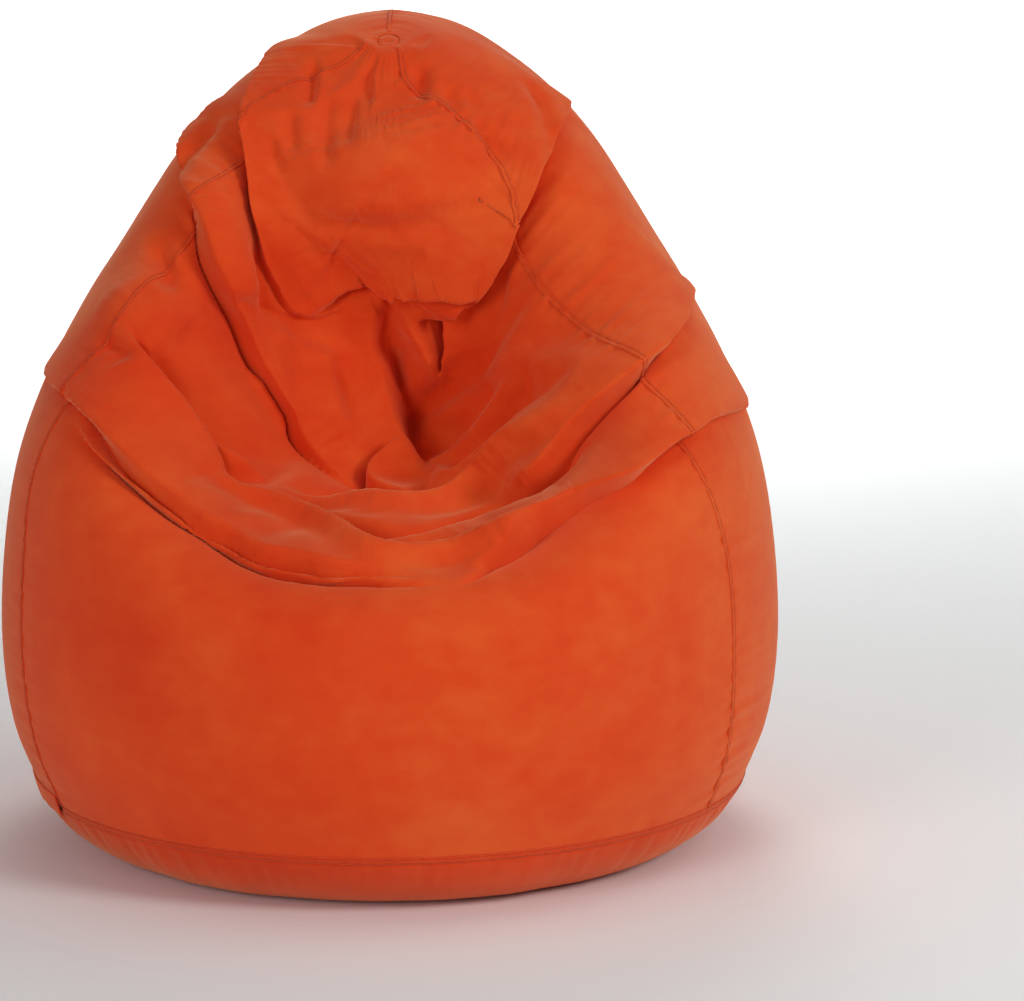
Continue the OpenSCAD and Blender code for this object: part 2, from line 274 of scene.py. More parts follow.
FOLDS = {
    "head_left": dict(
        roll=0.030, reach=0.10, hang=0.016, ends=(0.2, 0.8), open_ends=(True, False),
        points=[(-0.149, 0.998), (-0.165, 0.958), (-0.173, 0.925), (-0.176, 0.89), (-0.174, 0.86),
                (-0.171, 0.82), (-0.165, 0.77), (-0.157, 0.735), (-0.146, 0.708), (-0.128, 0.682),
                (-0.095, 0.668), (-0.055, 0.668), (-0.01, 0.69)]),
    "head_right": dict(
        roll=0.044, reach=0.13, depth=0.014, hang=0.028, ends=(0.15, 0.35), open_ends=(False, True),
        points=[(0.03, 0.648), (0.059, 0.677), (0.095, 0.708), (0.132, 0.755), (0.155, 0.80),
                (0.179, 0.844), (0.198, 0.878), (0.219, 0.926)]),
    "shoulder_left": dict(
        roll=0.028, reach=0.06, hang=0.018, ends=(0.15, 0.3), open_ends=(True, False),
        points=[(-0.235, 0.925), (-0.252, 0.89), (-0.253, 0.853), (-0.25, 0.81), (-0.24, 0.77),
                (-0.232, 0.73), (-0.216, 0.70), (-0.199, 0.66), (-0.18, 0.62), (-0.16, 0.58),
                (-0.136, 0.54), (-0.116, 0.50), (-0.09, 0.474), (-0.067, 0.45), (-0.03, 0.432)]),
    "panel_top": dict(
        roll=0.006, reach=0.03, depth=0.004, hang=0.004, crease=0.008, slope=0.012, slit=0.0,
        points=[(-0.22, 0.705), (-0.185, 0.686), (-0.154, 0.669), (-0.115, 0.657), (-0.078, 0.652),
                (-0.039, 0.66)]),
    "curl": dict(
        roll=0.020, reach=0.028, depth=0.010, hang=0.006, slope=0.014,
        points=[(0.012, 0.506), (-0.007, 0.49), (-0.029, 0.471), (-0.037, 0.452), (-0.023, 0.437),
                (0.005, 0.428), (0.037, 0.423)]),
    "cheek": dict(
        roll=0.012, reach=0.04, hang=0.012, depth=0.012,
        points=[(-0.03, 0.697), (0.00, 0.710), (0.035, 0.720), (0.085, 0.718)]),
    "cheek_left": dict(
        roll=0.006, reach=0.03, hang=0.005, depth=0.006, crease=0.007,
        points=[(-0.10, 0.672), (-0.05, 0.690), (0.00, 0.706)]),
    "knot_edge": dict(
        roll=0.014, reach=0.04, hang=0.006, depth=0.009, slope=0.010,
        points=[(0.075, 0.70), (0.069, 0.665), (0.067, 0.62), (0.057, 0.583)]),
    "lap_ridge": dict(
        roll=0.020, reach=0.045, hang=0.006, crease=0.012, slope=0.024, depth=0.012, slit=0.0,
        points=[(0.06, 0.455), (0.049, 0.48), (0.027, 0.517), (0.012, 0.556), (0.002, 0.595),
                (-0.012, 0.627), (0.00, 0.66), (0.013, 0.695)]),
    "arm_upper": dict(
        roll=0.030, reach=0.08, hang=0.018, depth=0.012, ends=(0.15, 0.3), open_ends=(False, True),
        points=[(0.14, 0.413), (0.196, 0.456), (0.214, 0.479), (0.26, 0.539), (0.324, 0.604),
                (0.361, 0.646), (0.39, 0.70)]),
    "arm_lower": dict(
        roll=0.026, reach=0.07, hang=0.018, depth=0.012, ends=(0.15, 0.3), open_ends=(False, True),
        points=[(0.09, 0.335), (0.114, 0.347), (0.167, 0.372), (0.237, 0.432), (0.307, 0.465),
                (0.375, 0.512), (0.417, 0.53), (0.455, 0.55)]),
    "lip_right": dict(
        roll=0.009, reach=0.035, hang=0.008, depth=0.010, ends=(0.3, 0.3),
        points=[(0.07, 0.312), (0.10, 0.322), (0.145, 0.361), (0.191, 0.399), (0.284, 0.456),
                (0.327, 0.481), (0.38, 0.51)]),
    "lip_left": dict(
        roll=0.022, reach=0.05, hang=0.016, depth=0.012, ends=(0.25, 0.3), open_ends=(True, False),
        points=[(-0.446, 0.59), (-0.427, 0.57), (-0.401, 0.549), (-0.379, 0.53), (-0.347, 0.497),
                (-0.307, 0.457), (-0.269, 0.424), (-0.236, 0.397), (-0.20, 0.377), (-0.168, 0.357),
                (-0.126, 0.347), (-0.085, 0.34), (-0.01, 0.336), (0.07, 0.321)]),
    "lip_lower": dict(
        roll=0.014, reach=0.022, hang=0.012, depth=0.010, slope=0.016, ends=(0.15, 0.3),
        points=[(-0.43, 0.535), (-0.416, 0.52), (-0.396, 0.491), (-0.348, 0.453), (-0.295, 0.416),
                (-0.249, 0.39), (-0.207, 0.36), (-0.164, 0.34), (-0.119, 0.33), (-0.017, 0.323),
                (0.094, 0.315)]),
    "arm_left": dict(
        roll=0.020, reach=0.045, hang=0.014, depth=0.012, crease=0.006, ends=(0.35, 0.35),
        points=[(-0.183, 0.424), (-0.206, 0.457), (-0.228, 0.487), (-0.255, 0.527), (-0.28, 0.564),
                (-0.305, 0.602), (-0.324, 0.636), (-0.346, 0.669)]),
}

# Each swell is its line, its height before the gain below, and its width.
SWELLS = {
    "head_face": ([(-0.03, 0.93), (-0.01, 0.86), (0.01, 0.78)], 0.014, 0.09),
    "mid_roll": ([(-0.205, 0.88), (-0.205, 0.80), (-0.19, 0.73), (-0.15, 0.685)], 0.018, 0.026),
    "left_wing": ([(-0.36, 0.72), (-0.31, 0.67), (-0.26, 0.62)], 0.010, 0.05),
    "panel": ([(-0.10, 0.63), (-0.08, 0.56), (-0.04, 0.49)], 0.016, 0.035),
    "panel_fold": ([(-0.165, 0.655), (-0.13, 0.625), (-0.09, 0.612), (-0.05, 0.618)], 0.007, 0.011),
    "panel_crease": ([(-0.075, 0.60), (-0.06, 0.555), (-0.05, 0.515)], -0.005, 0.010),
    "panel_left": ([(-0.175, 0.605), (-0.154, 0.558), (-0.12, 0.508)], 0.008, 0.018),
    "tongue": ([(0.013, 0.683), (0.028, 0.645), (0.05, 0.601), (0.069, 0.579)], 0.020, 0.012),
    "tongue_valley": (
        [(-0.003, 0.639), (0.009, 0.601), (0.025, 0.563), (0.023, 0.519), (0.043, 0.477)],
        -0.018, 0.013),
    "basin": ([(0.035, 0.585), (0.055, 0.54), (0.075, 0.495)], -0.026, 0.038),
    "basin_side": ([(0.10, 0.62), (0.12, 0.57), (0.13, 0.53)], -0.012, 0.045),
    "pan_roll": (
        [(-0.178, 0.436), (-0.115, 0.411), (-0.058, 0.396), (0.00, 0.392), (0.043, 0.399),
         (0.081, 0.415), (0.131, 0.452), (0.182, 0.496), (0.226, 0.544), (0.263, 0.60)],
        0.022, 0.017),
    "pan_valley": (
        [(-0.159, 0.407), (-0.084, 0.378), (0.00, 0.366), (0.055, 0.375), (0.106, 0.399),
         (0.169, 0.436), (0.226, 0.477), (0.276, 0.522)], -0.018, 0.011),
    "pan_arc": (
        [(-0.272, 0.50), (-0.209, 0.442), (-0.141, 0.397), (-0.065, 0.362), (0.00, 0.347),
         (0.081, 0.354), (0.157, 0.384), (0.232, 0.436)], 0.015, 0.012),
    "pan_top": (
        [(0.046, 0.46), (0.09, 0.475), (0.14, 0.51), (0.18, 0.56), (0.20, 0.62)], -0.012, 0.020),
    "left_arc": ([(-0.27, 0.576), (-0.24, 0.519), (-0.203, 0.474), (-0.153, 0.442)], 0.014, 0.013),
    "left_valley": (
        [(-0.30, 0.64), (-0.267, 0.577), (-0.235, 0.52), (-0.205, 0.480)], -0.012, 0.012),
    "left_valley_wing": ([(-0.31, 0.775), (-0.289, 0.732), (-0.275, 0.69)], -0.010, 0.012),
    "left_notch_fold": ([(-0.37, 0.64), (-0.355, 0.62), (-0.345, 0.60)], -0.006, 0.010),
    "tuck": ([(-0.208, 0.929), (-0.224, 0.892), (-0.239, 0.855), (-0.246, 0.825)], -0.009, 0.009),
    "inner_valley": (
        [(-0.180, 0.765), (-0.177, 0.751), (-0.168, 0.722), (-0.157, 0.691), (-0.135, 0.672)],
        -0.009, 0.010),
    "smile": (
        [(-0.13, 0.846), (-0.097, 0.81), (-0.06, 0.793), (-0.022, 0.79), (0.017, 0.795),
         (0.055, 0.808), (0.09, 0.84)], -0.007, 0.013),
    "crown_pleat": ([(-0.093, 1.00), (-0.094, 0.969), (-0.095, 0.925)], -0.008, 0.007),
    "crown_1": ([(-0.112, 0.93), (-0.112, 0.90), (-0.105, 0.865)], -0.005, 0.008),
    "crown_2": ([(-0.128, 0.90), (-0.128, 0.87), (-0.115, 0.84)], -0.004, 0.008),
    "crown_3": ([(-0.074, 0.96), (-0.078, 0.906), (-0.065, 0.85)], -0.006, 0.009),
    "crown_4": ([(-0.049, 0.97), (-0.050, 0.92), (-0.045, 0.87)], -0.005, 0.009),
    "crown_5": ([(-0.025, 0.995), (-0.032, 0.965), (-0.020, 0.94)], -0.007, 0.009),
    "crown_6": ([(0.036, 0.99), (0.038, 0.965), (0.036, 0.94)], -0.009, 0.010),
    "right_1": ([(0.066, 0.96), (0.074, 0.926), (0.082, 0.90)], -0.005, 0.009),
    "right_2": ([(0.09, 0.955), (0.096, 0.92), (0.104, 0.885)], -0.004, 0.009),
    "right_3": ([(0.105, 0.905), (0.112, 0.885), (0.122, 0.86)], -0.008, 0.011),
    "right_4": ([(0.155, 0.975), (0.175, 0.93), (0.179, 0.88), (0.172, 0.84)], -0.007, 0.010),
    "right_5": ([(0.206, 0.911), (0.196, 0.885), (0.184, 0.86)], -0.007, 0.009),
    "wing_inner": ([(0.155, 0.735), (0.148, 0.70), (0.142, 0.66)], -0.004, 0.012),
}

SWELL_GAIN = 1.65
cloth = body.copy()
crease_hold = np.zeros((ROWS, COLS))
for drawn in FOLDS.values():
    shift, held = fold(**drawn)
    cloth = cloth + shift
    crease_hold = np.maximum(crease_hold, held)
for line, height, width in SWELLS.values():
    cloth = cloth + swell(line, SWELL_GAIN * height, width)


def relax(grid, rounds):
    """Evens the grid a little, so that no fold comes to a spike."""
    for _ in range(rounds):
        mean = (np.roll(grid, 1, 1) + np.roll(grid, -1, 1)) / 2
        mean[1:-1] = (mean[1:-1] + (grid[:-2] + grid[2:]) / 2) / 2
        mean[0], mean[-1] = grid[0], grid[-1]
        grid = grid + 0.5 * (mean - grid)
    return grid


cloth = relax(cloth, 1)

# ---- Cloth simulation ---------------------------------------------------------------------
# The drawn folds are let go as real cloth, a little longer than the room it has over the seat,
# so that it puckers and sags of itself. It is held along the creases and on the taut walls.
SIM_STEP = 2
SIM_FRAMES, SIM_GRAVITY = 14, 0.05
CLOTH_SETTINGS = dict(
    quality=6, mass=0.25, tension_stiffness=25, compression_stiffness=25, shear_stiffness=8,
    bending_stiffness=5, tension_damping=8, compression_damping=8, air_damping=2,
    use_pressure=True, uniform_pressure_force=6.0, vertex_group_mass="hold")
EXTRA_LENGTH = 0.04
FARTHEST_MOVE = 0.030
TIP_ROWS_HELD = 6


def spread(coarse, step, rows, cols):
    """A coarse grid's values on the fine grid, evenly between its points."""
    r = np.minimum(np.arange(rows) / step, coarse.shape[0] - 1)
    i = np.minimum(r.astype(int), coarse.shape[0] - 2)
    f = (r - i)[:, None, None]
    by_row = coarse[i] * (1 - f) + coarse[i + 1] * f
    c = np.arange(cols) / step
    j = c.astype(int)
    g = (c - j)[None, :, None]
    return by_row[:, j] * (1 - g) + by_row[:, (j + 1) % coarse.shape[1]] * g


def settle(start, rest, hold):
    """Where cloth that starts at start, with the lengths of rest, comes to lie. Where hold is
    1 it can't move."""
    rows, cols = start.shape[:2]
    mesh = bpy.data.meshes.new("settling")
    mesh.from_pydata([tuple(v) for v in start.reshape(-1, 3)], [],
                     grid_faces(rows, cols, closed=True))
    obj = bpy.data.objects.new("settling", mesh)
    bpy.context.scene.collection.objects.link(obj)
    obj.shape_key_add(name="start")
    lengths = obj.shape_key_add(name="lengths")
    lengths.data.foreach_set("co", rest.reshape(-1).astype(np.float32))
    group = obj.vertex_groups.new(name="hold")
    for k, w in enumerate(hold.reshape(-1)):
        group.add([k], float(w), "REPLACE")
    modifier = obj.modifiers.new("settle", "CLOTH")
    settings = modifier.settings
    for key, value in CLOTH_SETTINGS.items():
        setattr(settings, key, value)
    settings.rest_shape_key = lengths
    settings.effector_weights.gravity = SIM_GRAVITY
    modifier.collision_settings.use_collision = False
    modifier.collision_settings.use_self_collision = False
    modifier.point_cache.frame_start = 1
    modifier.point_cache.frame_end = SIM_FRAMES
    scene = bpy.context.scene
    for number in range(1, SIM_FRAMES + 1):
        scene.frame_set(number)
    settled = obj.evaluated_get(bpy.context.evaluated_depsgraph_get()).data
    result = np.zeros(rows * cols * 3, np.float32)
    settled.vertices.foreach_get("co", result)
    scene.frame_set(1)
    bpy.data.objects.remove(obj)
    return result.reshape(rows, cols, 3).astype(float)


def degrees_from_front(s):
    """How far round from the front the columns of the simulated grid are, at heights s."""
    return np.abs((np.degrees(column_angles(s)[:, ::SIM_STEP]) + 180) % 360 - 180)


def loosened(grid):
    """The grid with its cloth lengthened over the seat and the head, for the rest lengths."""
    s = heights[::SIM_STEP]
    loose = smooth_step((s - 2.8) / 1.5) * smooth_step((13.5 - s) / 1.5)
    front = smooth_step((95 - degrees_from_front(s)) / 35)
    amount = loose[:, None] * (0.25 + 0.75 * front)
    step_up = np.diff(grid, axis=0, prepend=grid[:1])
    return grid + np.cumsum(EXTRA_LENGTH * amount[..., None] * step_up, axis=0)


def holding():
    """How far each point of the simulated grid is held: creases, low walls, back and tip."""
    s = heights[::SIM_STEP]
    taut = 1 - smooth_step((s - 2.4) / 1.6)
    full_back = 0.9 * smooth_step((degrees_from_front(s) - 75) / 30)
    hold = np.maximum(smooth_step(crease_hold[::SIM_STEP, ::SIM_STEP] / 0.6), taut[:, None])
    hold = np.maximum(hold, full_back)
    hold[-TIP_ROWS_HELD:] = 1
    return hold


start = cloth[::SIM_STEP, ::SIM_STEP]
move = relax(settle(start, loosened(start), holding()) - start, 3)
size = np.linalg.norm(move, axis=-1, keepdims=True)
move *= np.minimum(1, FARTHEST_MOVE / np.maximum(size, 1e-9))
cloth = cloth + spread(move, SIM_STEP, ROWS, COLS)

# ---- Puckers along the seams --------------------------------------------------------------


def ripples(run, waves):
    """A sum of waves of the given lengths at places run along a seam, from -1 to 1."""
    total = np.zeros(len(run))
    for length in waves:
        swing = rng.uniform(0.6, 1.4, 2)
        phase = rng.uniform(0, 2 * np.pi, 2)
        total += swing[0] * np.sin(2 * np.pi * run / length + phase[0]
                                   + swing[1] * np.sin(2 * np.pi * run / 0.19 + phase[1]))
    return total / len(waves)


def puckers(grid, column, height, reaches, waves):
    """Short ripples that run out from a seam, so far before it and so far after it."""
    n = normals(grid)
    run = run_along(grid[:, column])
    size = height * smooth_step(0.65 + 0.5 * ripples(run, (0.23, 0.41)))
    out = grid.copy()
    for way, reach in zip((-1, 1), reaches):
        wave = ripples(run, waves)
        far = np.zeros(ROWS)
        for step in range(1, 40):
            j = (column + way * step) % COLS
            before = (column + way * (step - 1)) % COLS
            far = far + np.linalg.norm(grid[:, j] - grid[:, before], axis=1)
            fade = np.exp(-far / reach) * smooth_step(far / 0.004)
            out[:, j] += (size * wave * fade)[:, None] * n[:, j]
    return out


cloth = puckers(cloth, SEAM_COL["right"], 0.0036, (0.016, 0.075), (0.019, 0.026, 0.034))
cloth = puckers(cloth, SEAM_COL["left"], 0.0026, (0.045, 0.020), (0.019, 0.028, 0.037))
cloth = puckers(cloth, SEAM_COL["back"], 0.0026, (0.030, 0.030), (0.019, 0.027, 0.037))
cloth_n = normals(cloth)

# ---- Mesh helpers -------------------------------------------------------------------------


def add_mesh(name, verts, faces, material):
    """A smooth-shaded mesh object, put in the scene."""
    mesh = bpy.data.meshes.new(name)
    mesh.from_pydata([tuple(v) for v in verts], [], faces)
    mesh.validate()
    mesh.update()
    for polygon in mesh.polygons:
        polygon.use_smooth = True
    mesh.materials.append(material)
    obj = bpy.data.objects.new(name, mesh)
    bpy.context.scene.collection.objects.link(obj)
    return obj


def sheet_solid(name, outer, inner, material):
    """A closed thin solid from two matching grids of points."""
    rows, cols = outer.shape[:2]
    count = rows * cols
    faces = grid_faces(rows, cols)
    faces += [tuple(reversed(f)) for f in grid_faces(rows, cols, count)]
    for i in range(rows - 1):
        a, b = i * cols, (i + 1) * cols
        faces.append((a, b, b + count, a + count))
        a, b = a + cols - 1, b + cols - 1
        faces.append((b, a, a + count, b + count))
    for j in range(cols - 1):
        faces.append((j + 1, j, j + count, j + 1 + count))
        a = (rows - 1) * cols + j
        faces.append((a, a + 1, a + 1 + count, a + count))
    verts = np.vstack([outer.reshape(-1, 3), inner.reshape(-1, 3)])
    return add_mesh(name, verts, faces, material)


def sweep(name, centre, across, up, outline, material):
    """A closed solid swept along a line. The outline is places by points by (across, up), and
    goes from left to right over the top."""
    verts = (centre[:, None] + outline[..., :1] * across[:, None]
             + outline[..., 1:] * up[:, None])
    count, points = verts.shape[:2]
    faces = grid_faces(count, points, closed=True)
    faces.append(tuple(range(points))[::-1])
    faces.append(tuple((count - 1) * points + k for k in range(points)))
    return add_mesh(name, verts.reshape(-1, 3), faces, material)


def dish(name, outer, inner, material):
    """A round shell closed at the middle. Its rings go from the middle out to the rim."""
    rings, cols = outer.shape[:2]
    count = rings * cols
    faces = grid_faces(rings, cols, closed=True)
    faces += [tuple(reversed(f)) for f in grid_faces(rings, cols, count, closed=True)]
    rim = (rings - 1) * cols
    middle = 2 * count
    for j in range(cols):
        k = (j + 1) % cols
        faces.append((rim + j, rim + k, count + rim + k, count + rim + j))
        faces.append((k, j, middle))
        faces.append((count + j, count + k, middle + 1))
    centres = [outer[0].mean(0), inner[0].mean(0)]
    verts = np.vstack([outer.reshape(-1, 3), inner.reshape(-1, 3), centres])
    return add_mesh(name, verts, faces, material)


def closed_rings(name, rings, bottom, crown, material):
    """A closed solid: rings of points that go up from a bottom point to a crown point."""
    count, cols = rings.shape[:2]
    below, above = count * cols, count * cols + 1
    last = (count - 1) * cols
    faces = grid_faces(count, cols, closed=True)
    faces += [((j + 1) % cols, j, below) for j in range(cols)]
    faces += [(last + j, last + (j + 1) % cols, above) for j in range(cols)]
    verts = np.vstack([rings.reshape(-1, 3), [bottom], [crown]])
    return add_mesh(name, verts, faces, material)


def many(name, shapes, faces, material):
    """One mesh of many like pieces: shapes is pieces by points by 3, faces belong to one."""
    points = shapes.shape[1]
    joined = [tuple(k * points + v for v in f) for k in range(len(shapes)) for f in faces]
    return add_mesh(name, shapes.reshape(-1, 3), joined, material)


def fit(piece, node, body="bag"):
    """Puts a piece on its body, in its CAD node's place, and hides the node."""
    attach(piece, body)
    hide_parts(node)
    return piece


# ---- Materials ----------------------------------------------------------------------------


def new_material(name):
    """A new material, with its nodes, links, shader and object coordinates."""
    material = bpy.data.materials.new(name)
    material.use_nodes = True
    nodes, links = material.node_tree.nodes, material.node_tree.links
    coords = nodes.new("ShaderNodeTexCoord").outputs["Object"]
    return material, nodes, links, nodes["Principled BSDF"], coords


def noise(nodes, links, coords, scale, detail, stretch=(1, 1, 1)):
    """A noise value, with its coordinates stretched first."""
    mapping = nodes.new("ShaderNodeMapping")
    mapping.inputs["Scale"].default_value = stretch
    texture = nodes.new("ShaderNodeTexNoise")
    texture.inputs["Scale"].default_value = scale
    texture.inputs["Detail"].default_value = detail
    links.new(coords, mapping.inputs["Vector"])
    links.new(mapping.outputs["Vector"], texture.inputs["Vector"])
    return texture.outputs["Fac"]


def ramp(nodes, links, value, stops):
    """A colour that follows a value along stops of (position, colour)."""
    node = nodes.new("ShaderNodeValToRGB")
    elements = node.color_ramp.elements
    while len(elements) < len(stops):
        elements.new(0.5)
    for element, (position, colour) in zip(elements, stops):
        element.position = position
        element.color = (*colour, 1)
    links.new(value, node.inputs["Fac"])
    return node.outputs["Color"]


def relief(nodes, links, value, strength, distance, under=None):
    """A bumped normal that follows a value, on top of the normal under it."""
    node = nodes.new("ShaderNodeBump")
    node.inputs["Strength"].default_value = strength
    node.inputs["Distance"].default_value = distance
    links.new(value, node.inputs["Height"])
    if under is not None:
        links.new(under, node.inputs["Normal"])
    return node.outputs["Normal"]


def times(nodes, links, value, factor, plus=None):
    """A value times a factor, plus another value where there is one."""
    node = nodes.new("ShaderNodeMath")
    node.operation = "MULTIPLY" if plus is None else "MULTIPLY_ADD"
    node.inputs[1].default_value = factor
    links.new(value, node.inputs[0])
    if plus is not None:
        links.new(plus, node.inputs[2])
    return node.outputs[0]


def toned(name, scale, stops, roughness, stretch=(1, 1, 1), bump=None):
    """A material toned by fine noise, which raises it too by a bump of (strength, distance)."""
    material, nodes, links, shader, coords = new_material(name)
    value = noise(nodes, links, coords, scale, 2, stretch)
    links.new(ramp(nodes, links, value, stops), shader.inputs["Base Color"])
    shader.inputs["Roughness"].default_value = roughness
    if bump is not None:
        links.new(relief(nodes, links, value, *bump), shader.inputs["Normal"])
    return material, shader


# How much lighter the velvet's colour is painted towards the right of the bag: painted light from the
# key light's side.
RIGHT_PAINTED_LIGHT = 0.22


def velvet_material(name, deep, mid, light):
    """Short-pile velvet: brushed patches, a dusty sheen at grazing angles, and a fine nap. Its colour
    is painted lighter towards the right of the bag, a painted highlight for the key light that falls
    from that side."""
    material, nodes, links, shader, coords = new_material(name)
    patches = noise(nodes, links, coords, 6, 4, (1, 1, 1.2))
    streaks = noise(nodes, links, coords, 30, 4, (1, 1, 1.4))
    mixed = times(nodes, links, streaks, 0.35, times(nodes, links, patches, 0.65))
    place = nodes.new("ShaderNodeSeparateXYZ")
    links.new(coords, place.inputs[0])
    # The colour grows lighter towards the right of the bag: painted light, on top of the random
    # patches and streaks.
    tone_and_painted_light = times(nodes, links, place.outputs["X"], RIGHT_PAINTED_LIGHT, mixed)
    colour = ramp(nodes, links, tone_and_painted_light, [(0.30, deep), (0.5, mid), (0.70, light)])
    links.new(colour, shader.inputs["Base Color"])
    shader.inputs["Roughness"].default_value = 0.8
    shader.inputs["Specular IOR Level"].default_value = 0.15
    shader.inputs["Sheen Weight"].default_value = 0.42
    shader.inputs["Sheen Roughness"].default_value = 0.5
    shader.inputs["Sheen Tint"].default_value = (0.85, 0.58, 0.30, 1)
    nap = relief(nodes, links, noise(nodes, links, coords, 900, 2), 0.12, 0.0006)
    crush = noise(nodes, links, coords, 70, 4)
    links.new(relief(nodes, links, crush, 0.25, 0.0015, nap), shader.inputs["Normal"])
    return material


velvet = velvet_material("velvet", (0.74, 0.042, 0.004), (0.79, 0.065, 0.008),
                         (0.83, 0.104, 0.017))
# A darker copy of the cover's velvet for the base and its seam: painted shade for the underside of the
# bag.
velvet_shaded = velvet_material("velvet_base", (0.64, 0.038, 0.005), (0.70, 0.048, 0.007),
                              (0.76, 0.060, 0.011))

# ---- Cover --------------------------------------------------------------------------------
VELVET_T = 0.002


def gore_piece(name, first, last, node):
    """One gore of the cover, from its first column to its last."""
    columns = [c % COLS for c in range(first, last + 1)]
    outer = cloth[:, columns]
    inner = outer - VELVET_T * cloth_n[:, columns]
    fit(sheet_solid(name, outer, inner, velvet), node)


gore_piece("front_gore", 0, FRONT_COLS, "front_panel")
gore_piece("rear_right_gore", FRONT_COLS, FRONT_COLS + REAR_COLS, "rear_right_panel")
gore_piece("rear_left_gore", FRONT_COLS + REAR_COLS, COLS, "rear_left_panel")

# ---- Liner and fill -----------------------------------------------------------------------
# They follow the cover at a distance, staying behind the deepest cloth around each point.
INNER_STEP = 4
LINER_GAP, LINER_T = 0.014, 0.0015
FILL_GAP = 0.028


def deepest_around(depth, reach):
    """The lowest value within reach cells of each cell, then evened out."""
    low = depth
    for _ in range(reach):
        padded = np.vstack([low[:1], low, low[-1:]])
        low = np.minimum.reduce([low, padded[:-2], padded[2:], np.roll(low, 1, 1),
                                 np.roll(low, -1, 1)])
    for _ in range(2 * reach):
        padded = np.vstack([low[:1], low, low[-1:]])
        low = (2 * low + padded[:-2] + padded[2:] + np.roll(low, 1, 1) + np.roll(low, -1, 1)) / 6
    return low


cloth_depth = ((cloth - body) * body_n).sum(-1)
inner_depth = np.minimum(deepest_around(cloth_depth, 8), 0)[..., None]


def inner_layer(depth):
    """A coarser grid that stays depth behind the cover."""
    return (body + (inner_depth - depth) * body_n)[::INNER_STEP, ::INNER_STEP]


def plain_cloth(name, dark, light):
    """Thin plain-woven cloth."""
    material, shader = toned(name, 500, [(0.35, dark), (0.65, light)], 0.9, bump=(0.3, 0.0004))
    shader.inputs["Sheen Weight"].default_value = 0.2
    return material


lining = plain_cloth("lining", (0.74, 0.73, 0.68), (0.84, 0.83, 0.79))
liner_grid = inner_layer(LINER_GAP)
liner_n = normals(liner_grid)
LINER_TOP = liner_grid.shape[0] - 4


def liner_piece(name, first, last, node):
    """One gore of the liner, behind the cover's columns from first to last."""
    columns = [(c // INNER_STEP) % (COLS // INNER_STEP)
               for c in range(first, last + 1, INNER_STEP)]
    outer = liner_grid[:LINER_TOP, columns]
    inner = outer - LINER_T * liner_n[:LINER_TOP, columns]
    fit(sheet_solid(name, outer, inner, lining), node)


liner_piece("liner_front_gore", 0, FRONT_COLS, "liner_front")
liner_piece("liner_rear_right_gore", FRONT_COLS, FRONT_COLS + REAR_COLS, "liner_rear_right")
liner_piece("liner_rear_left_gore", FRONT_COLS + REAR_COLS, COLS, "liner_rear_left")


def bead_material():
    """White polystyrene beads, about 4 mm across."""
    material, nodes, links, shader, coords = new_material("beads")
    cells = nodes.new("ShaderNodeTexVoronoi")
    cells.inputs["Scale"].default_value = 240
    links.new(coords, cells.inputs["Vector"])
    # The colour goes grey towards the rim of each cell: painted shade between the beads.
    links.new(ramp(nodes, links, cells.outputs["Distance"],
                   [(0.2, (0.92, 0.92, 0.90)), (0.7, (0.70, 0.70, 0.68))]),
              shader.inputs["Base Color"])
    shader.inputs["Roughness"].default_value = 0.7
    bump = nodes.new("ShaderNodeBump")
    bump.invert = True
    bump.inputs["Distance"].default_value = 0.002
    links.new(cells.outputs["Distance"], bump.inputs["Height"])
    links.new(bump.outputs["Normal"], shader.inputs["Normal"])
    return material


def bead_piece():
    """The fill: the inner layer, closed over the top and over the round base."""
    floor_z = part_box("bead_fill")[0].z
    grid = inner_layer(FILL_GAP)
    cols = grid.shape[1]
    angles = np.arctan2(grid[0, :, 1], grid[0, :, 0])
    rims = []
    for share, height in ((0.35, 0), (0.62, 0.002), (0.82, 0.010), (0.94, 0.026)):
        radius = share * float(np.hypot(grid[0, 0, 0], grid[0, 0, 1]))
        rims.append(np.stack([radius * np.cos(angles), radius * np.sin(angles),
                              np.full(cols, floor_z + height)], axis=-1))
    rings = np.concatenate([np.array(rims), grid])
    piece = closed_rings("loose_beads", rings, [0, 0, floor_z], grid[-1].mean(0),
                         bead_material())
    fit(piece, "bead_fill")


bead_piece()

# ---- Seams and stitching ------------------------------------------------------------------


def resample(points, normal, spacing):
    """A line of points and normals at even spacing, with the way along it and across it."""
    run = run_along(points)
    at = np.arange(0, run[-1], spacing)
    place = np.stack([np.interp(at, run, points[:, k]) for k in range(3)], axis=1)
    up = unit(np.stack([np.interp(at, run, normal[:, k]) for k in range(3)], axis=1))
    along = unit(np.gradient(place, axis=0))
    return at, place, up, along, unit(np.cross(along, up))


def strap(name, points, normal, width, height, material, spacing=0.0018, pucker=0.35, sink=0.0016):
    """A strip of cloth sewn down along a line, puckered between its stitches."""
    at, place, up, _, across = resample(points, normal, spacing)
    half = width / 2
    edge = min(0.0009, half / 3)
    shape = np.array([(-half, -sink), (-half, 0.35 * height), (-half + edge, 0.9 * height),
                      (-edge, height), (0, 0.8 * height), (edge, height),
                      (half - edge, 0.9 * height), (half, 0.35 * height), (half, -sink)])
    outline = np.repeat(shape[None], len(at), axis=0)
    puff = 1 + pucker * ripples(at, (0.0052, 0.0081, 0.019))
    above = outline[..., 1] > 0
    outline[..., 1] = np.where(above, outline[..., 1] * puff[:, None], outline[..., 1])
    outline[..., 0] += (0.0004 * ripples(at, (0.009, 0.023)))[:, None]
    return sweep(name, place, across, up, outline, material)


STITCH_SIDES = 5
# Rings along a stitch: place along it, size, and lift in radii.
STITCH_RINGS = ((-0.5, 0.45, -0.5), (-0.32, 1, 0.1), (0, 1.05, 0.3), (0.32, 1, 0.1), (0.5, 0.45, -0.5))


